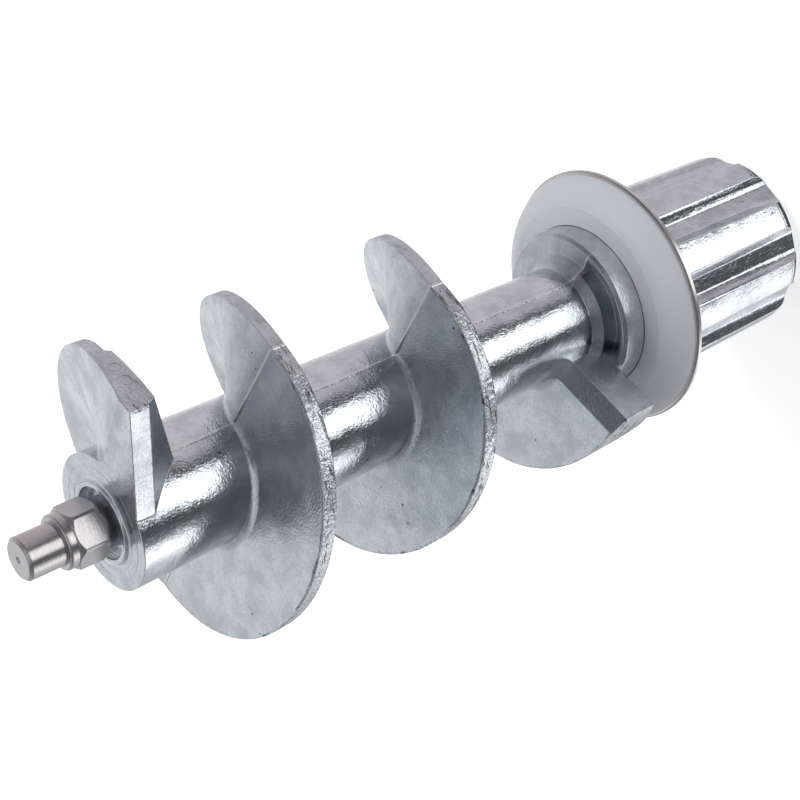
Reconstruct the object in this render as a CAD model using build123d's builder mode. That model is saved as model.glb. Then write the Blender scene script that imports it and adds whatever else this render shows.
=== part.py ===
from build123d import *
from math import atan, ceil, cos, degrees, pi, radians, sin, tan
import os

# Driving dimensions in millimetres, the axis along Z and the drive end on Z = 0
hub_length = 35.0
collar_length = 10.7
flight_length = 101.0

# Tapered shaft, and the cone that the rim of the flight follows
shaft_front_radius = 11.9
shaft_rear_radius = 9.4
shaft_root_chamfer = 2.4
flight_front_radius = 28.5
flight_rear_radius = 24.8

# Flight: depth behind the front face and lean of each flat half turn, in and out
flight_start_rise = 2.1
flight_start_lean = 0.056
flight_start_angle = -2.0
first_turn_depth = 20.3
first_lean_in = 0.144
first_lean_out = 0.265
second_turn_depth = 55.0
second_lean_in = 0.285
second_lean_out = 0.21
third_turn_depth = 91.6
third_turn_lean = 0.245
flight_thickness = 2.6
flight_root_round = 1.8
first_half_ease = 0.2
half_turn_ease = 0.75
last_half_reach = 90.0
section_step = 30.5

# Front tooth: flat end face, the flank behind it, and its fade into the flight
tooth_rim_offset = 1.4
tooth_end_angle = 18.0
tooth_end_width = 3.5
tooth_flank_rise = 1.36
tooth_back_drop = 14.5
tooth_back_lean = 0.325
tooth_front_fall = 0.42
tooth_fade_drop = 15.6
tooth_fade_rise = 0.75
tooth_reach = 14.0
tooth_inner = 8.0

# Rear tooth, where the flight runs out into the collar
tail_corner_cut = 2.4
tail_reach = 20.0
tail_sink = 5.0

# Collar with a pocket in one half of its face, and the lobed drive hub
collar_radius = 15.4
collar_chamfer = 0.6
pocket_rim = 1.4
pocket_width = 3.1
pocket_depth = 2.2
pocket_sweep = 100.0
hub_radius = 17.8
hub_end_radius = 16.8
hub_end_round = 2.8
lobe_count = 9
lobe_turn = 10.0
groove_depth = 1.7
groove_mouth = 6.8
groove_floor = 3.0
groove_round = 0.5

# Knife spindle, with its counterbore and blind bore in the casting
journal_radius = 3.75
journal_length = 6.75
journal_chamfer = 0.5
centre_mark_radius = 0.7
shoulder_radius = 4.75
shoulder_chamfer = 0.3
shoulder_length = 1.6
hex_across_flats = 9.7
hex_turned_radius = 5.45
hex_end_radius = 4.8
hex_chamfer = 0.7
hex_length = 5.5
hex_turn = -4.0
neck_length = 1.7
shank_radius = 4.4
shank_length = 24.0
shank_end_gap = 0.5
counterbore_radius = 6.4
counterbore_depth = 1.2
lip_radius = 7.5
lip_height = 0.5
spindle_clearance = 0.02

# Thrust ring and backing washer
ring_radius = 23.7
ring_thickness = 4.6
ring_flat_radius = 19.0
ring_rim_width = 0.3
ring_dome_radius = 6.0
sleeve_wall = 2.2
washer_radius = 24.3
washer_thickness = 1.2
washer_chamfer = 0.3
ring_fit = 0.1
washer_fit = 0.1
washer_float = 0.1

os.makedirs("parts", exist_ok=True)

# Heights and radii that follow from the driving dimensions
collar_front = hub_length + collar_length
casting_length = collar_front + flight_length
washer_back = hub_length + washer_float
ring_back = washer_back + washer_thickness
ring_front = ring_back + ring_thickness
ring_bore = collar_radius + ring_fit
sleeve_radius = ring_bore + sleeve_wall
lip_top = casting_length + lip_height
hex_bottom = casting_length + neck_length
hex_top = hex_bottom + hex_length
journal_bottom = hex_top + shoulder_length
spindle_top = journal_bottom + journal_length
shank_bottom = casting_length - shank_length
clear_radius = flight_front_radius + flight_thickness
hub_draft = degrees(atan((hub_radius - hub_end_radius) / hub_length))


def shaft_radius_at(height):
    slope = (shaft_front_radius - shaft_rear_radius) / flight_length
    return shaft_rear_radius + slope * (height - collar_front)


# Plane through the axis, with the radius along its X and the height along its Y
def radial_plane(angle):
    across = (cos(radians(angle)), sin(radians(angle)), 0)
    facing = (sin(radians(angle)), -cos(radians(angle)), 0)
    return Plane(origin=(0, 0, 0), x_dir=across, z_dir=facing)


# One section of the flight: a leaning blade with a rounded root on both sides
def flight_section(angle, height, lean):
    def front(radius):
        return height - lean * radius * cos(radians(angle))

    root = shaft_radius_at(front(shaft_front_radius)) - flight_root_round / 4
    foot = root + flight_root_round
    inner = root / 2
    rise = front(root) + flight_root_round
    fall = front(root) - flight_thickness - flight_root_round
    rim_front = (clear_radius, front(clear_radius))
    rim_back = (clear_radius, front(clear_radius) - flight_thickness)
    foot_front = (foot, front(foot))
    foot_back = (foot, front(foot) - flight_thickness)
    with BuildSketch(radial_plane(angle)) as section:
        with BuildLine():
            RadiusArc((root, rise), foot_front, -flight_root_round * 1.2)
            Polyline(foot_front, rim_front, rim_back, foot_back)
            RadiusArc(foot_back, (root, fall), -flight_root_round * 1.2)
            Polyline((root, fall), (inner, fall), (inner, rise), (root, rise))
        make_face()
    return section.sketch


# Steep half turns ease in and out of the flat ones that they join
def eased(share, ease):
    return ease * (1 - cos(pi * share)) / 2 + (1 - ease) * share


flight_stations = [
    (-flight_start_rise, flight_start_lean),
    (first_turn_depth, first_lean_in),
    (first_turn_depth, first_lean_out),
    (second_turn_depth, second_lean_in),
    (second_turn_depth, second_lean_out),
    (third_turn_depth, third_turn_lean),
    (third_turn_depth, third_turn_lean),
]

# Cone that the whole flight is trimmed to, from the collar to the front face
with BuildPart() as envelope:
    with BuildSketch(Plane.XZ):
        with BuildLine():
            Polyline((0, collar_front), (flight_rear_radius, collar_front),
                     (flight_front_radius, casting_length), (0, casting_length), close=True)
        make_face()
    revolve(axis=Axis.Z)

# Front tooth: a block behind the flat end face, cut to its flank, back, front and fade
tooth_tangent = tan(radians(tooth_end_angle))
tooth_along = Vector(cos(radians(tooth_end_angle)), sin(radians(tooth_end_angle)), 0)
tooth_behind = Vector(-sin(radians(tooth_end_angle)), cos(radians(tooth_end_angle)), 0)
with BuildPart() as front_tooth:
    with BuildSketch(Plane.XY.offset(casting_length + flight_thickness)):
        with BuildLine():
            inner_end = -tooth_rim_offset - (flight_front_radius - tooth_inner) * tooth_tangent
            outer_end = -tooth_rim_offset + flight_thickness * tooth_tangent
            Polyline((tooth_inner, inner_end), (clear_radius, outer_end), (clear_radius, tooth_reach),
                     (tooth_inner, tooth_reach), close=True)
        make_face()
    extrude(amount=-flight_thickness - tooth_back_drop)
    flank = Plane(origin=(flight_front_radius, -tooth_rim_offset, casting_length - tooth_end_width),
                  x_dir=tooth_along, z_dir=tooth_behind * tooth_flank_rise + Vector(0, 0, 1))
    split(bisect_by=flank, keep=Keep.TOP)
    back = Plane(origin=(0, 0, casting_length - tooth_back_drop), x_dir=(0, 1, 0),
                 z_dir=(-tooth_back_lean, 0, 1))
    split(bisect_by=back, keep=Keep.TOP)
    fade = Plane(origin=(0, 0, casting_length - tooth_fade_drop), x_dir=(1, 0, 0),
                 z_dir=(0, -tooth_fade_rise, 1))
    split(bisect_by=fade, keep=Keep.TOP)
    front = Plane(origin=(0, 0, casting_length), x_dir=(1, 0, 0), z_dir=(0, tooth_front_fall, 1))
    split(bisect_by=front, keep=Keep.BOTTOM)

# Rear tooth: the flight thickens to a flat end that stands on the collar
tail_plane = Plane(origin=(0, 0, casting_length - third_turn_depth), x_dir=(-1, 0, 0), z_dir=(0, 1, 0))
tail_drop = collar_front - casting_length + third_turn_depth
with BuildPart() as rear_tooth:
    with BuildSketch(tail_plane):
        with BuildLine():
            middle = -flight_thickness / 2
            Polyline((0, tail_drop - tail_sink), (0, middle),
                     (tail_reach, third_turn_lean * tail_reach + middle), close=True)
        make_face()
    extrude(amount=-clear_radius)

# Corner that is cut away from the front edge of the rear tooth
with BuildPart() as tail_corner:
    with BuildSketch(tail_plane):
        with BuildLine():
            cut_slope = 1 + third_turn_lean
            Polyline((-tail_corner_cut, -tail_corner_cut * (1 + cut_slope)),
                     (2 * tail_corner_cut, tail_corner_cut * (2 * cut_slope - 1)),
                     (-tail_corner_cut, tail_corner_cut * (2 * cut_slope - 1)), close=True)
        make_face()
    extrude(amount=-clear_radius)

# Half turns of the flight, the first and the last with their teeth, trimmed to the cone
half_turns = []
last_index = len(flight_stations) - 2
for index in range(last_index + 1):
    start_depth, start_lean = flight_stations[index]
    end_depth, end_lean = flight_stations[index + 1]
    start_angle = flight_start_angle if index == 0 else 180.0 * index
    end_angle = 180.0 * index + (last_half_reach if index == last_index else 180.0)
    ease = first_half_ease if index == 0 else half_turn_ease
    steps = ceil((end_angle - start_angle) / section_step)
    with BuildPart() as half_turn:
        for step in range(steps + 1):
            share = step / steps
            angle = start_angle + (end_angle - start_angle) * share
            depth = start_depth + (end_depth - start_depth) * eased(share, ease)
            lean = start_lean + (end_lean - start_lean) * share
            add(flight_section(angle, casting_length - depth, lean))
        loft()
        if index == 0:
            add(front_tooth.part)
        if index == last_index:
            add(rear_tooth.part)
            add(tail_corner.part, mode=Mode.SUBTRACT)
        add(envelope.part, mode=Mode.INTERSECT)
    half_turns.append(half_turn.part)

# Lobed drive hub with a little draft and a rounded end
with BuildPart() as drive_hub:
    with BuildSketch(Plane.XY.offset(hub_length)) as hub_outline:
        Circle(hub_radius)
        groove_wall = (groove_mouth - groove_floor) / 2
        with PolarLocations(hub_radius, lobe_count, start_angle=lobe_turn + 180 / lobe_count):
            Polygon((groove_depth, groove_mouth / 2 + groove_wall), (-groove_depth, groove_floor / 2),
                    (-groove_depth, -groove_floor / 2), (groove_depth, -groove_mouth / 2 - groove_wall),
                    align=None, mode=Mode.SUBTRACT)
        fillet(hub_outline.vertices(), groove_round)
    extrude(amount=-hub_length, taper=hub_draft)
    with BuildSketch(Plane.XZ):
        with BuildLine():
            flat_end = (hub_end_radius - hub_end_round, 0)
            side_end = (hub_end_radius, hub_end_round)
            RadiusArc(flat_end, side_end, -hub_end_round)
            Polyline(side_end, (clear_radius, hub_end_round), (clear_radius, hub_length), (0, hub_length),
                     (0, 0), flat_end)
        make_face()
    revolve(axis=Axis.Z, mode=Mode.INTERSECT)

# One casting: shaft and collar, the flight, and the hub, bored for the spindle
with BuildPart() as auger_body:
    with BuildSketch(Plane.XZ):
        with BuildLine():
            root_top = collar_front + shaft_root_chamfer
            Polyline((0, hub_length), (collar_radius, hub_length),
                     (collar_radius, collar_front - collar_chamfer),
                     (collar_radius - collar_chamfer, collar_front),
                     (shaft_rear_radius + shaft_root_chamfer, collar_front),
                     (shaft_radius_at(root_top), root_top),
                     (shaft_front_radius, casting_length), (lip_radius, casting_length),
                     (lip_radius - lip_height, lip_top), (0, lip_top), close=True)
        make_face()
    revolve(axis=Axis.Z)
    with BuildSketch(radial_plane(-pocket_sweep)):
        with Locations((collar_radius - pocket_rim - pocket_width / 2, collar_front)):
            Rectangle(pocket_width, 2 * pocket_depth)
    revolve(axis=Axis.Z, revolution_arc=pocket_sweep, mode=Mode.SUBTRACT)
    for half_turn_part in half_turns:
        add(half_turn_part)
    add(drive_hub.part)
    with Locations((0, 0, lip_top)):
        CounterBoreHole(radius=shank_radius + spindle_clearance, counter_bore_radius=counterbore_radius,
                        counter_bore_depth=lip_height + counterbore_depth,
                        depth=lip_height + shank_length + shank_end_gap)

# Turned spindle: the hexagonal knife seat first, then all that is round
with BuildPart() as knife_spindle:
    with BuildSketch(Plane.XY.offset(hex_bottom)):
        RegularPolygon(hex_across_flats / 2, 6, major_radius=False, rotation=hex_turn)
    extrude(amount=hex_length)
    with BuildSketch(Plane.XZ):
        with BuildLine():
            Polyline((0, hex_bottom), (hex_end_radius, hex_bottom),
                     (hex_turned_radius, hex_bottom + hex_chamfer),
                     (hex_turned_radius, hex_top - hex_chamfer), (hex_end_radius, hex_top), (0, hex_top),
                     close=True)
        make_face()
    revolve(axis=Axis.Z, mode=Mode.INTERSECT)
    with BuildSketch(Plane.XZ):
        with BuildLine():
            Polyline((0, shank_bottom), (shank_radius, shank_bottom), (shank_radius, hex_top),
                     (shoulder_radius, hex_top), (shoulder_radius, journal_bottom - shoulder_chamfer),
                     (shoulder_radius - shoulder_chamfer, journal_bottom), (journal_radius, journal_bottom),
                     (journal_radius, spindle_top - journal_chamfer),
                     (journal_radius - journal_chamfer, spindle_top), (centre_mark_radius, spindle_top),
                     (0, spindle_top - centre_mark_radius), close=True)
        make_face()
    revolve(axis=Axis.Z)

# Plastic thrust ring: a flange with a domed rim, and a sleeve that carries the washer
with BuildPart() as thrust_ring:
    with BuildSketch(Plane.XZ):
        with BuildLine():
            rim_edge = (ring_radius, ring_back + ring_rim_width)
            flat_edge = (ring_flat_radius, ring_front)
            RadiusArc(rim_edge, flat_edge, -ring_dome_radius)
            Polyline(flat_edge, (ring_bore, ring_front), (ring_bore, washer_back),
                     (sleeve_radius, washer_back), (sleeve_radius, ring_back),
                     (ring_radius, ring_back), rim_edge)
        make_face()
    revolve(axis=Axis.Z)

# Thin steel washer on the sleeve
with BuildPart() as backing_washer:
    with BuildSketch(Plane.XY.offset(washer_back)):
        Circle(washer_radius)
        Circle(sleeve_radius + washer_fit, mode=Mode.SUBTRACT)
    extrude(amount=washer_thickness)
    rim_edges = backing_washer.edges().filter_by(GeomType.CIRCLE).sort_by(SortBy.RADIUS)[-2:]
    chamfer(rim_edges, washer_chamfer)

pieces = {
    "auger_body": auger_body,
    "knife_spindle": knife_spindle,
    "thrust_ring": thrust_ring,
    "backing_washer": backing_washer,
}
for name, piece in pieces.items():
    piece.part.label = name
    export_step(piece.part, f"parts/{name}.step")
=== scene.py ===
import math

import bmesh
import bpy
from mathutils import Matrix, Vector, noise


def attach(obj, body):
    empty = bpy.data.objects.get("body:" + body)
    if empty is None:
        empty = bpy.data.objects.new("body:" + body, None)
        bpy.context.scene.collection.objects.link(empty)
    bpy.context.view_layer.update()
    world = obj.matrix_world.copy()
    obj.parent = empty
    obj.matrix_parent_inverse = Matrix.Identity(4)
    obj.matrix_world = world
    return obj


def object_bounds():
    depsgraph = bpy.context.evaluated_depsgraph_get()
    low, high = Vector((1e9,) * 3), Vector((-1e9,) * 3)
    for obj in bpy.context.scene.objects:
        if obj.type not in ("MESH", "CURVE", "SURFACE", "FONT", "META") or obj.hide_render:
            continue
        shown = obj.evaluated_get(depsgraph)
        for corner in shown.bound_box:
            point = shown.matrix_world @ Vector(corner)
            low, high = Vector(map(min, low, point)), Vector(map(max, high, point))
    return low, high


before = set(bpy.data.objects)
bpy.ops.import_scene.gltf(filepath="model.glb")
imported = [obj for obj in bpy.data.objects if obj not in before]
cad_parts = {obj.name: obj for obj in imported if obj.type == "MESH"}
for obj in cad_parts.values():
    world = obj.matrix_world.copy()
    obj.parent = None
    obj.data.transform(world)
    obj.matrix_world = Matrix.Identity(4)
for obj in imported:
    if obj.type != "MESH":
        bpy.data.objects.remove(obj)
cadLow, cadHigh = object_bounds()
print("frame loaded:", sorted(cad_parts))

white = (1.0, 1.0, 1.0, 1.0)


# Node helper: sets plain values, and links what is a socket
def addNode(tree, kind, inputs=None, **settings):
    made = tree.nodes.new(kind)
    for key, value in settings.items():
        setattr(made, key, value)
    for key, value in (inputs or {}).items():
        if isinstance(value, bpy.types.NodeSocket):
            tree.links.new(value, made.inputs[key])
        else:
            made.inputs[key].default_value = value
    return made


def addMath(tree, operation, first, second=0.0, third=0.0):
    return addNode(tree, "ShaderNodeMath", {0: first, 1: second, 2: third}, operation=operation).outputs[0]


def addRange(tree, value, low, high, lowTo=0.0, highTo=1.0):
    inputs = {"Value": value, "From Min": low, "From Max": high, "To Min": lowTo, "To Max": highTo}
    return addNode(tree, "ShaderNodeMapRange", inputs, interpolation_type="SMOOTHSTEP").outputs["Result"]


def addNoise(tree, place, scale, detail, roughness):
    inputs = {"Vector": place, "Scale": scale, "Detail": detail, "Roughness": roughness}
    return addNode(tree, "ShaderNodeTexNoise", inputs).outputs["Fac"]


def addCells(tree, place, scale):
    return addNode(tree, "ShaderNodeTexVoronoi", {"Vector": place, "Scale": scale}).outputs["Distance"]


def addBump(tree, strength, depth, height, normal):
    inputs = {"Strength": strength, "Distance": depth, "Height": height, "Normal": normal}
    return addNode(tree, "ShaderNodeBump", inputs).outputs[0]


# Colour mix by a share: sockets 0, 6 and 7 are the share and the two colours
def addMix(tree, share, first, second):
    return addNode(tree, "ShaderNodeMix", {0: share, 6: first, 7: second}, data_type="RGBA").outputs[2]


def startNodes(owner):
    owner.use_nodes = True
    owner.node_tree.nodes.clear()
    return owner.node_tree


def startMaterial(name):
    material = bpy.data.materials.new(name)
    tree = startNodes(material)
    shader = addNode(tree, "ShaderNodeBsdfPrincipled")
    addNode(tree, "ShaderNodeOutputMaterial", {"Surface": shader.outputs[0]})
    place = addNode(tree, "ShaderNodeTexCoord").outputs["Object"]
    return material, tree, shader, place


def addPiece(name, work, material):
    mesh = bpy.data.meshes.new(name)
    work.to_mesh(mesh)
    work.free()
    mesh.materials.append(material)
    piece = bpy.data.objects.new(name, mesh)
    bpy.context.scene.collection.objects.link(piece)
    return piece


# Casting: satin flight, glossier shaft and hub, trimmed rim with chips, a seam along the parting plane; painted
# highlights on edges and the seam, painted shade in pits and chips
casting = {
    "light": (0.83, 0.87, 0.90, 1.0),
    "dark": (0.62, 0.665, 0.71, 1.0),
    "grit": (0.40, 0.42, 0.46, 1.0),
    # painted highlight colour for edges and the seam, also the colour of bright nicks
    "highlightAndNick": (0.95, 0.955, 0.96, 1.0),
    # painted shade colour for pits and chips
    "pitAndChipShade": (0.14, 0.14, 0.15, 1.0),
    "collarFront": 0.0457,
    "frontFace": 0.1467,
    "hubTop": 0.035,
    "hubFade": 0.0005,
    "shaftRear": 0.0094,
    "shaftSlope": 0.02475,
    "shaftFade": (0.0010, 0.0002),
    "rimRear": 0.0248,
    "rimSlope": 0.03663,
    "rimFade": (-0.0006, -0.0002),
    "halfFade": 0.0004,
    "steepRoughness": 0.36,
    "flatRoughness": 0.19,
    "shaftRoughness": 0.08,
    "roughSpread": 0.12,
    "edgeRound": 0.0003,
    "edgeTurn": (0.985, 0.90),
    # Noises: scale, detail, roughness
    "mottle": (190.0, 6.0, 0.66),
    "cloud": (70.0, 2.0, 0.55),
    "waves": (210.0, 1.0, 0.55),
    "grain": (2500.0, 2.0, 0.6),
    "foil": (800.0, 3.0, 0.65),
    "speck": (1100.0, 4.0, 0.7),
    "streakReach": 0.006,
    "mottlePick": (0.33, 0.67),
    "gritPick": (0.48, 0.66),
    "gritOnFlight": 0.24,
    "gritOnShaft": 0.05,
    "seamWidth": 0.0004,
    "seamRear": 0.001,
    "seamFront": 0.012,
    "seamOnShaft": 0.4,
    "pitScale": 330.0,
    "pitSize": (0.10, 0.06),
    "pitPick": (0.52, 0.60),
    "nickScale": 520.0,
    "nickSize": (0.15, 0.10),
    "nickPick": (0.46, 0.40),
    "chipPick": (0.55, 0.61),
    "chipShare": 0.85,
    "chipOnSteep": 0.35,
    # Relief: strengths and depths
    "waveStrength": 0.55,
    "waveDepth": 0.0003,
    "foilOnRim": 1.5,
    "foilOnShaft": 0.22,
    "foilDepth": 0.00025,
    "grainOnFlight": 0.75,
    "grainOnShaft": 0.6,
    "grainDepth": 0.00007,
    "seamStrength": 0.8,
    "seamDepth": 0.0002,
}


# Distance outside a cone that is given by its rear radius and slope
def addConeGap(tree, height, radius, rear, slope):
    above = addMath(tree, "SUBTRACT", height, casting["collarFront"])
    cone = addMath(tree, "MULTIPLY_ADD", above, slope, rear)
    return addMath(tree, "SUBTRACT", radius, cone)


# Mould seam at y = 0, between the collar and the front tooth, weaker on the shaft
def addSeam(tree, across, height, smooth):
    width = casting["seamWidth"]
    rear, front = casting["collarFront"], casting["frontFace"]
    seam = addRange(tree, addMath(tree, "ABSOLUTE", across), width, width / 3)
    seam = addMath(tree, "MULTIPLY", seam, addRange(tree, height, rear - casting["seamRear"], rear))
    seam = addMath(tree, "MULTIPLY", seam, addRange(tree, height, front, front - casting["seamFront"]))
    return addMath(tree, "MULTIPLY", seam, addRange(tree, smooth, 0.0, 1.0, 1.0, casting["seamOnShaft"]))


def makeCasting():
    material, tree, shader, place = startMaterial("castAluminium")
    parts = addNode(tree, "ShaderNodeSeparateXYZ", {0: place}).outputs
    across, height = parts["Y"], parts["Z"]
    flat = addNode(tree, "ShaderNodeCombineXYZ", {"X": parts["X"], "Y": across}).outputs[0]
    radius = addNode(tree, "ShaderNodeVectorMath", {0: flat}, operation="LENGTH").outputs["Value"]
    shaftGap = addConeGap(tree, height, radius, casting["shaftRear"], casting["shaftSlope"])
    rimGap = addConeGap(tree, height, radius, casting["rimRear"], casting["rimSlope"])
    onShaft = addRange(tree, shaftGap, *casting["shaftFade"])
    onHub = addRange(tree, height, casting["hubTop"] + casting["hubFade"], casting["hubTop"])
    onRim = addRange(tree, rimGap, *casting["rimFade"])
    onFlatHalf = addRange(tree, across, casting["halfFade"], -casting["halfFade"])
    smooth = addMath(tree, "MAXIMUM", onShaft, onHub)
    mottle = addNoise(tree, place, *casting["mottle"])
    cloud = addNoise(tree, place, *casting["cloud"])
    waves = addNoise(tree, place, *casting["waves"])
    grain = addNoise(tree, place, *casting["grain"])
    foil = addNoise(tree, place, *casting["foil"])
    angle = addMath(tree, "ARCTAN2", across, parts["X"])
    along = addMath(tree, "MULTIPLY", angle, casting["streakReach"])
    unrolled = addNode(tree, "ShaderNodeCombineXYZ", {"X": along, "Y": height, "Z": radius}).outputs[0]
    speck = addNoise(tree, unrolled, *casting["speck"])

    # Edges and the seam get a painted highlight, nicks are bright marks, pits and chips get painted shade
    normal = addNode(tree, "ShaderNodeNewGeometry").outputs["Normal"]
    edge = addNode(tree, "ShaderNodeBevel", {"Radius": casting["edgeRound"]}, samples=8).outputs[0]
    turn = addNode(tree, "ShaderNodeVectorMath", {0: edge, 1: normal}, operation="DOT_PRODUCT").outputs["Value"]
    seam = addSeam(tree, across, height, smooth)
    edgeAndSeamHighlight = addMath(tree, "MAXIMUM", addRange(tree, turn, *casting["edgeTurn"]), seam)
    pitSpots = addRange(tree, addCells(tree, place, casting["pitScale"]), *casting["pitSize"])
    pitShade = addMath(tree, "MULTIPLY", pitSpots, addRange(tree, cloud, *casting["pitPick"]))
    chipped = addMath(tree, "MULTIPLY", onRim, addRange(tree, onFlatHalf, 0.0, 1.0, casting["chipOnSteep"], 1.0))
    chipSpots = addRange(tree, speck, *casting["chipPick"], 0.0, casting["chipShare"])
    chipShade = addMath(tree, "MULTIPLY", chipSpots, chipped)
    nickSpots = addRange(tree, addCells(tree, place, casting["nickScale"]), *casting["nickSize"])
    nickPick = addMath(tree, "MULTIPLY", addRange(tree, cloud, *casting["nickPick"]), onFlatHalf)
    nicks = addMath(tree, "MULTIPLY", nickSpots, nickPick)

    colour = addMix(tree, addRange(tree, mottle, *casting["mottlePick"]), casting["light"], casting["dark"])
    gritShare = addRange(tree, smooth, 0.0, 1.0, casting["gritOnFlight"], casting["gritOnShaft"])
    gritty = addMath(tree, "MULTIPLY", addRange(tree, grain, *casting["gritPick"]), gritShare)
    colour = addMix(tree, gritty, colour, casting["grit"])
    # painted highlight along edges and the seam, and bright nicks
    colour = addMix(tree, addMath(tree, "MAXIMUM", edgeAndSeamHighlight, nicks), colour, casting["highlightAndNick"])
    # painted shade in pits and chips
    colour = addMix(tree, addMath(tree, "MAXIMUM", pitShade, chipShade), colour, casting["pitAndChipShade"])
    tree.links.new(colour, shader.inputs["Base Color"])
    shader.inputs["Metallic"].default_value = 1.0

    flight = addRange(tree, onFlatHalf, 0.0, 1.0, casting["steepRoughness"], casting["flatRoughness"])
    base = addNode(tree, "ShaderNodeMix", {0: smooth, 2: flight, 3: casting["shaftRoughness"]}).outputs[0]
    rough = addMath(tree, "MULTIPLY_ADD", mottle, casting["roughSpread"], base)
    tree.links.new(rough, shader.inputs["Roughness"])

    # Relief: casting waves, crumpled rim, skin grain, the seam
    relief = addBump(tree, casting["waveStrength"], casting["waveDepth"], waves, edge)
    rimFoil = addMath(tree, "MULTIPLY", chipped, casting["foilOnRim"])
    crumpled = addMath(tree, "ADD", rimFoil, addMath(tree, "MULTIPLY", smooth, casting["foilOnShaft"]))
    relief = addBump(tree, crumpled, casting["foilDepth"], foil, relief)
    grainShare = addRange(tree, smooth, 0.0, 1.0, casting["grainOnFlight"], casting["grainOnShaft"])
    relief = addBump(tree, grainShare, casting["grainDepth"], grain, relief)
    relief = addBump(tree, casting["seamStrength"], casting["seamDepth"], seam, relief)
    tree.links.new(relief, shader.inputs["Normal"])
    return material


# Spindle: turned steel, a little warm
steel = {
    "colour": (0.67, 0.645, 0.655, 1.0),
    "roughness": 0.17,
    "roughSpread": 0.15,
    "squeeze": (1.0, 1.0, 12.0),
    "turning": (420.0, 3.0, 0.55),
    "edgeRound": 0.00025,
    "bumpStrength": 0.25,
    "bumpDepth": 0.0001,
}


def makeSteel():
    material, tree, shader, place = startMaterial("turnedSteel")
    squeezed = addNode(tree, "ShaderNodeVectorMath", {0: place, 1: steel["squeeze"]}, operation="MULTIPLY")
    turning = addNoise(tree, squeezed.outputs[0], *steel["turning"])
    shader.inputs["Base Color"].default_value = steel["colour"]
    shader.inputs["Metallic"].default_value = 1.0
    rough = addMath(tree, "MULTIPLY_ADD", turning, steel["roughSpread"], steel["roughness"])
    tree.links.new(rough, shader.inputs["Roughness"])
    edge = addNode(tree, "ShaderNodeBevel", {"Radius": steel["edgeRound"]}, samples=6).outputs[0]
    bump = addBump(tree, steel["bumpStrength"], steel["bumpDepth"], turning, edge)
    tree.links.new(bump, shader.inputs["Normal"])
    return material


# Ring: pale moulded plastic with a soft sheen
plastic = {
    "colour": (0.57, 0.58, 0.62, 1.0),
    "roughness": 0.27,
    "roughSpread": 0.1,
    "cloud": (60.0, 2.0, 0.55),
    "glowShare": 0.15,
    "glowReach": (0.001, 0.001, 0.001),
}


def makePlastic():
    material, tree, shader, place = startMaterial("ringPlastic")
    cloud = addNoise(tree, place, *plastic["cloud"])
    shader.inputs["Base Color"].default_value = plastic["colour"]
    rough = addMath(tree, "MULTIPLY_ADD", cloud, plastic["roughSpread"], plastic["roughness"])
    tree.links.new(rough, shader.inputs["Roughness"])
    shader.inputs["Subsurface Weight"].default_value = plastic["glowShare"]
    shader.inputs["Subsurface Radius"].default_value = plastic["glowReach"]
    return material


# Washer: rolled steel with dull clouds
washer = {
    "face": (0.90, 0.88, 0.88, 1.0),
    "dull": (0.66, 0.63, 0.61, 1.0),
    "cloud": (220.0, 4.0, 0.55),
    "roughness": 0.3,
}


def makeWasher():
    material, tree, shader, place = startMaterial("washerSteel")
    cloud = addNoise(tree, place, *washer["cloud"])
    tree.links.new(addMix(tree, cloud, washer["face"], washer["dull"]), shader.inputs["Base Color"])
    shader.inputs["Metallic"].default_value = 1.0
    shader.inputs["Roughness"].default_value = washer["roughness"]
    return material


finishes = {
    "auger_body": makeCasting(),
    "knife_spindle": makeSteel(),
    "thrust_ring": makePlastic(),
    "backing_washer": makeWasher(),
}
for name, material in finishes.items():
    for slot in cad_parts[name].material_slots:
        slot.material = material
print("finishes set:", sorted(finishes))


# Small relief of the casting, each piece a mesh in the frame of the part
def addRelief(name, work):
    bmesh.ops.recalc_face_normals(work, faces=work.faces[:])
    piece = addPiece(name, work, finishes["auger_body"])
    piece.data.shade_smooth()
    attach(piece, "root")


def rimRadius(height):
    return casting["rimRear"] + casting["rimSlope"] * (height - casting["collarFront"])


# Trimmed flash along the front edge of the flat half turns
flash = {
    "low": 0.055,
    "high": 0.140,
    "back": -0.2,  # how far it runs past the middle, as x over -y
    "rimGap": 0.0001,
    "sideTurn": 0.2,
    "frontTurn": 0.5,
    "merge": 1e-6,
    "cuts": 3,
    "inset": 0.00022,
    "tall": 0.0004,
    "wall": 0.0002,
    "ripple": 420.0,
    "fineRipple": 4.0,
    "fineShare": 0.6,
    "lowest": 0.12,
    "middle": 0.5,
    "swing": 0.7,
}


def isFlashSpot(spot):
    if spot.y > 0 or not flash["low"] < spot.z < flash["high"]:
        return False
    return spot.xy.length >= rimRadius(spot.z) - flash["rimGap"] and spot.x >= flash["back"] * -spot.y


def isFlashEdge(edge):
    if len(edge.link_faces) != 2 or not all(isFlashSpot(vert.co) for vert in edge.verts):
        return False
    flattest, steepest = sorted((face.normal.z for face in edge.link_faces), key=abs)
    return abs(flattest) < flash["sideTurn"] and steepest > flash["frontTurn"]


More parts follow.
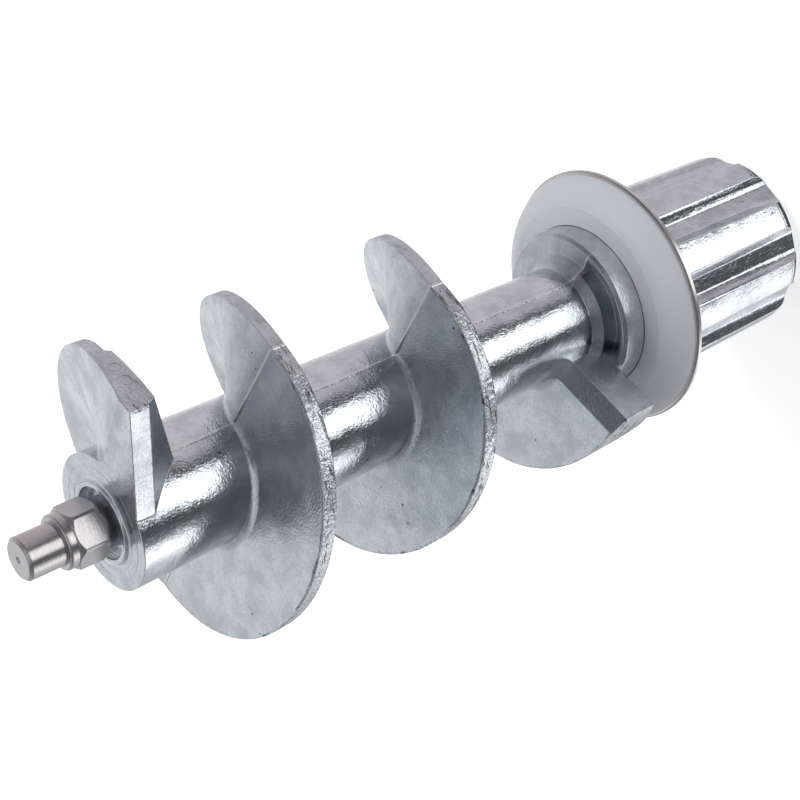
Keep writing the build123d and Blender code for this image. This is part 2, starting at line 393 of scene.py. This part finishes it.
def makeFlash():
    work = bmesh.new()
    work.from_mesh(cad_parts["auger_body"].data)
    bmesh.ops.remove_doubles(work, verts=work.verts[:], dist=flash["merge"])
    chain = {edge for edge in work.edges if isFlashEdge(edge)}
    bmesh.ops.delete(work, geom=[edge for edge in work.edges if edge not in chain], context="EDGES")
    bmesh.ops.delete(work, geom=[vert for vert in work.verts if not vert.link_edges], context="VERTS")
    bmesh.ops.subdivide_edges(work, edges=work.edges[:], cuts=flash["cuts"])
    for vert in work.verts:
        inward = vert.co.xy.normalized() * flash["inset"]
        vert.co -= inward.to_3d()
    grown = bmesh.ops.extrude_edge_only(work, edges=work.edges[:])["geom"]
    for vert in [item for item in grown if isinstance(item, bmesh.types.BMVert)]:
        spot = vert.co * flash["ripple"]
        ripple = noise.noise(spot) + flash["fineShare"] * noise.noise(spot * flash["fineRipple"])
        vert.co.z += flash["tall"] * max(flash["lowest"], flash["middle"] + flash["swing"] * ripple)
    bmesh.ops.recalc_face_normals(work, faces=work.faces[:])
    work.normal_update()
    bmesh.ops.solidify(work, geom=work.faces[:], thickness=flash["wall"])
    addRelief("rim_flash", work)


# Raised seam where the halves of the mould met, across the flight on both sides
seams = {
    "radius": 0.00045,
    "taper": 0.7,
    "sunk": 0.00036,
    "lines": [
        ((0.0116, 0.0, 0.12333), (0.0273, 0.0, 0.11917)),
        ((0.0104, 0.0, 0.08952), (0.0261, 0.0, 0.08622)),
        ((-0.0118, 0.0, 0.12810), (-0.0276, 0.0, 0.13037)),
        ((-0.0107, 0.0, 0.09475), (-0.0266, 0.0, 0.09928)),
        ((-0.0098, 0.0, 0.05750), (-0.0251, 0.0, 0.06125)),
    ],
}


def makeSeams():
    work = bmesh.new()
    for inner, outer in seams["lines"]:
        start, end = Vector(inner), Vector(outer)
        along = end - start
        rod = bmesh.ops.create_cone(work, cap_ends=True, segments=12, radius1=seams["radius"],
                                    radius2=seams["radius"] * seams["taper"], depth=along.length)["verts"]
        bmesh.ops.rotate(work, verts=rod, matrix=along.to_track_quat("Z", "Y").to_matrix())
        bmesh.ops.translate(work, verts=rod, vec=(start + end) / 2 - Vector((0.0, 0.0, seams["sunk"])))
    addRelief("seam_ridges", work)


# Fine rings that the lathe left on the front boss, and two ejector marks on the rim of the front tooth
turnedRings = {"radii": [0.0083, 0.0099], "wire": 0.00004}
ejectors = {
    "radius": 0.0011,
    "wire": 0.00003,
    "spots": [(0.02714, 0.00825, 0.14295), (0.02797, 0.00478, 0.14340)],
}


def addHoop(work, radius, wire):
    hoop = bmesh.ops.create_circle(work, segments=8, radius=wire)["verts"]
    bmesh.ops.rotate(work, verts=hoop, matrix=Matrix.Rotation(math.pi / 2, 3, "X"))
    bmesh.ops.translate(work, verts=hoop, vec=(radius, 0.0, 0.0))
    edges = list({edge for vert in hoop for edge in vert.link_edges})
    before = set(work.verts)
    bmesh.ops.spin(work, geom=edges, cent=(0.0, 0.0, 0.0), axis=(0.0, 0.0, 1.0), angle=math.tau, steps=72,
                   use_merge=True, use_duplicate=False)
    return [vert for vert in work.verts if vert in hoop or vert not in before]


def makeTurnedRings():
    work = bmesh.new()
    for radius in turnedRings["radii"]:
        hoop = addHoop(work, radius, turnedRings["wire"])
        bmesh.ops.translate(work, verts=hoop, vec=(0.0, 0.0, casting["frontFace"]))
    addRelief("boss_rings", work)


def makeEjectors():
    work = bmesh.new()
    for spot in ejectors["spots"]:
        hoop = addHoop(work, ejectors["radius"], ejectors["wire"])
        outward = Vector((spot[0], spot[1], 0.0))
        bmesh.ops.rotate(work, verts=hoop, matrix=outward.to_track_quat("Z", "Y").to_matrix())
        bmesh.ops.translate(work, verts=hoop, vec=spot)
    addRelief("ejector_marks", work)


makeFlash()
makeSeams()
makeTurnedRings()
makeEjectors()
print("casting relief added")

# Floor: pale, keeps the shadow, glows more away from the object, isn't seen in reflections
floor = {
    "half": 3.0,
    "drop": 0.0002,
    "colour": (0.9, 0.9, 0.9, 1.0),
    "near": 0.2,
    "far": 0.7,
    "nearGlow": 0.55,
    "farGlow": 0.76,
}


def makePaper():
    material = bpy.data.materials.new("floorPaper")
    tree = startNodes(material)
    matt = addNode(tree, "ShaderNodeBsdfDiffuse", {"Color": floor["colour"]}).outputs[0]
    place = addNode(tree, "ShaderNodeTexCoord").outputs["Object"]
    reach = addNode(tree, "ShaderNodeVectorMath", {0: place}, operation="LENGTH").outputs["Value"]
    strength = addRange(tree, reach, floor["near"], floor["far"], floor["nearGlow"], floor["farGlow"])
    glow = addNode(tree, "ShaderNodeEmission", {"Color": white, "Strength": strength}).outputs[0]
    both = addNode(tree, "ShaderNodeAddShader", {0: matt, 1: glow}).outputs[0]
    seen = addNode(tree, "ShaderNodeLightPath").outputs["Is Camera Ray"]
    shown = addNode(tree, "ShaderNodeMixShader", {0: seen, 1: matt, 2: both}).outputs[0]
    addNode(tree, "ShaderNodeOutputMaterial", {"Surface": shown})
    return material


def makeFloor():
    work = bmesh.new()
    bmesh.ops.create_grid(work, x_segments=1, y_segments=1, size=floor["half"])
    bmesh.ops.translate(work, verts=work.verts[:], vec=(0.0, 0.0, cadLow.z - floor["drop"]))
    piece = addPiece("floor", work, makePaper())
    piece.visible_glossy = False


makeFloor()
print("floor laid")

# Studio cards by angle round the object: panels low down, above them a light far side and a dim near side
studio = {
    "facing": 30.0,
    "panels": [
        (-180.0, (0.70, 0.71, 0.72)), (-150.0, (0.45, 0.46, 0.47)), (-125.0, (0.64, 0.65, 0.67)),
        (-104.0, (0.80, 0.81, 0.82)), (-94.0, (1.50, 1.50, 1.50)), (-78.0, (1.40, 1.40, 1.40)),
        (-70.0, (0.60, 0.61, 0.62)), (-60.0, (0.15, 0.15, 0.155)), (-33.0, (0.03, 0.03, 0.035)),
        (-27.0, (1.60, 1.60, 1.60)), (11.0, (1.60, 1.60, 1.60)), (17.0, (0.04, 0.04, 0.045)),
        (26.0, (0.05, 0.05, 0.055)), (35.0, (0.45, 0.42, 0.44)), (60.0, (0.58, 0.54, 0.56)),
        (140.0, (0.60, 0.56, 0.58)), (165.0, (0.95, 0.95, 0.96)), (180.0, (0.70, 0.71, 0.72)),
    ],
    "sky": [
        (-180.0, (0.68, 0.69, 0.70)), (-150.0, (0.48, 0.49, 0.50)), (-115.0, (0.25, 0.25, 0.26)),
        (-80.0, (0.13, 0.13, 0.14)), (-40.0, (0.10, 0.10, 0.11)), (0.0, (0.22, 0.22, 0.23)),
        (50.0, (0.10, 0.10, 0.11)), (80.0, (0.16, 0.16, 0.17)), (115.0, (0.42, 0.42, 0.43)),
        (145.0, (0.62, 0.63, 0.64)), (180.0, (0.68, 0.69, 0.70)),
    ],
    "zenith": (0.60, 0.60, 0.61, 1.0),
    "zenithFrom": (0.82, 0.96),
    "skyFrom": (-0.36, -0.16),
    "under": (0.08, 0.08, 0.09, 1.0),
    "underFrom": (-0.80, -0.90),
}


def addRamp(tree, share, stops):
    made = addNode(tree, "ShaderNodeValToRGB", {0: share})
    ramp = made.color_ramp
    while len(ramp.elements) < len(stops):
        ramp.elements.new(1.0)
    for element, (spot, colour) in zip(ramp.elements, stops):
        element.position = spot / 360.0 + 0.5
        element.color = (*colour, 1.0)
    return made.outputs["Color"]


def addCards(tree, aim):
    turned = addNode(tree, "ShaderNodeVectorRotate", {"Vector": aim, "Angle": math.radians(studio["facing"])},
                     rotation_type="Z_AXIS").outputs[0]
    parts = addNode(tree, "ShaderNodeSeparateXYZ", {0: turned}).outputs
    angle = addMath(tree, "ARCTAN2", parts["Y"], parts["X"])
    share = addMath(tree, "MULTIPLY_ADD", angle, 1.0 / math.tau, 0.5)
    height = parts["Z"]
    panels = addRamp(tree, share, studio["panels"])
    sky = addRamp(tree, share, studio["sky"])
    dome = addMix(tree, addRange(tree, height, *studio["zenithFrom"]), sky, studio["zenith"])
    around = addMix(tree, addRange(tree, height, *studio["skyFrom"]), panels, dome)
    return addMix(tree, addRange(tree, height, *studio["underFrom"]), around, studio["under"])


# World: white to the camera, in reflections and in transmission, the light of the cards to all else
def makeWorld():
    world = bpy.data.worlds.new("studio")
    tree = startNodes(world)
    world.cycles.sampling_method = "NONE"
    around = addCards(tree, addNode(tree, "ShaderNodeTexCoord").outputs["Generated"])
    rays = addNode(tree, "ShaderNodeLightPath").outputs
    seen = addMath(tree, "MAXIMUM", rays["Is Camera Ray"], rays["Is Glossy Ray"])
    seen = addMath(tree, "MAXIMUM", seen, rays["Is Transmission Ray"])
    light = addNode(tree, "ShaderNodeBackground", {"Color": addMix(tree, seen, around, white), "Strength": 1.0})
    addNode(tree, "ShaderNodeOutputWorld", {"Surface": light.outputs[0]})
    bpy.context.scene.world = world


# Light tent: the cards as the metal sees them, open behind the object to the white background
tent = {"radius": 12.0, "across": 72, "rows": 36, "opening": 15.0, "low": -0.35, "high": 0.25}


def isOpening(face):
    middle = face.calc_center_median()
    spot = math.degrees(math.atan2(middle.y, middle.x)) + studio["facing"]
    inBand = tent["low"] < middle.z / tent["radius"] < tent["high"]
    return inBand and abs(spot % 360.0 - 180.0) < tent["opening"]


def makeTentCloth():
    material = bpy.data.materials.new("tentCards")
    tree = startNodes(material)
    material.cycles.emission_sampling = "NONE"
    place = addNode(tree, "ShaderNodeTexCoord").outputs["Object"]
    aim = addNode(tree, "ShaderNodeVectorMath", {0: place}, operation="NORMALIZE").outputs[0]
    glow = addNode(tree, "ShaderNodeEmission", {"Color": addCards(tree, aim), "Strength": 1.0})
    addNode(tree, "ShaderNodeOutputMaterial", {"Surface": glow.outputs[0]})
    return material


def makeTent():
    work = bmesh.new()
    bmesh.ops.create_uvsphere(work, u_segments=tent["across"], v_segments=tent["rows"], radius=tent["radius"])
    bmesh.ops.delete(work, geom=[face for face in work.faces if isOpening(face)], context="FACES")
    piece = addPiece("tent", work, makeTentCloth())
    piece.visible_camera = False
    piece.visible_diffuse = False
    piece.visible_transmission = False
    piece.visible_volume_scatter = False
    piece.visible_shadow = False


makeWorld()
makeTent()

# Lamps: a broad key from the camera's upper left and a weak fill
lamps = [
    {"name": "key", "place": (0.25, 0.35, 0.75), "size": 0.5, "power": 3.9},
    {"name": "fill", "place": (0.55, -0.5, 0.35), "size": 0.6, "power": 2.0},
]


def makeLamp(lamp):
    data = bpy.data.lights.new(lamp["name"], "AREA")
    data.size = lamp["size"]
    data.energy = lamp["power"]
    piece = bpy.data.objects.new(lamp["name"], data)
    bpy.context.scene.collection.objects.link(piece)
    target = (cadLow + cadHigh) / 2
    piece.location = lamp["place"]
    piece.rotation_euler = (target - piece.location).to_track_quat("-Z", "Y").to_euler()
    piece.visible_glossy = False


for lamp in lamps:
    makeLamp(lamp)
print("studio lit:", len(lamps), "lamps")

# Camera: fitted to the photograph, its axes given in the frame of the part
shot = {
    "lens": 96.5,
    "sensor": 36.0,
    "place": (0.27207, -0.15921, 0.28531),
    "right": (0.21380, -0.60133, -0.76987),
    "up": (0.64645, 0.67795, -0.35001),
    "back": (0.73240, -0.42285, 0.53366),
}


def makeCamera():
    data = bpy.data.cameras.new("shot")
    data.lens = shot["lens"]
    data.sensor_width = shot["sensor"]
    piece = bpy.data.objects.new("shot", data)
    bpy.context.scene.collection.objects.link(piece)
    axes = Matrix((shot["right"], shot["up"], shot["back"])).transposed().to_4x4()
    piece.matrix_world = Matrix.Translation(Vector(shot["place"])) @ axes
    bpy.context.scene.camera = piece


makeCamera()
bpy.context.scene.view_settings.view_transform = "Standard"
print("camera placed")
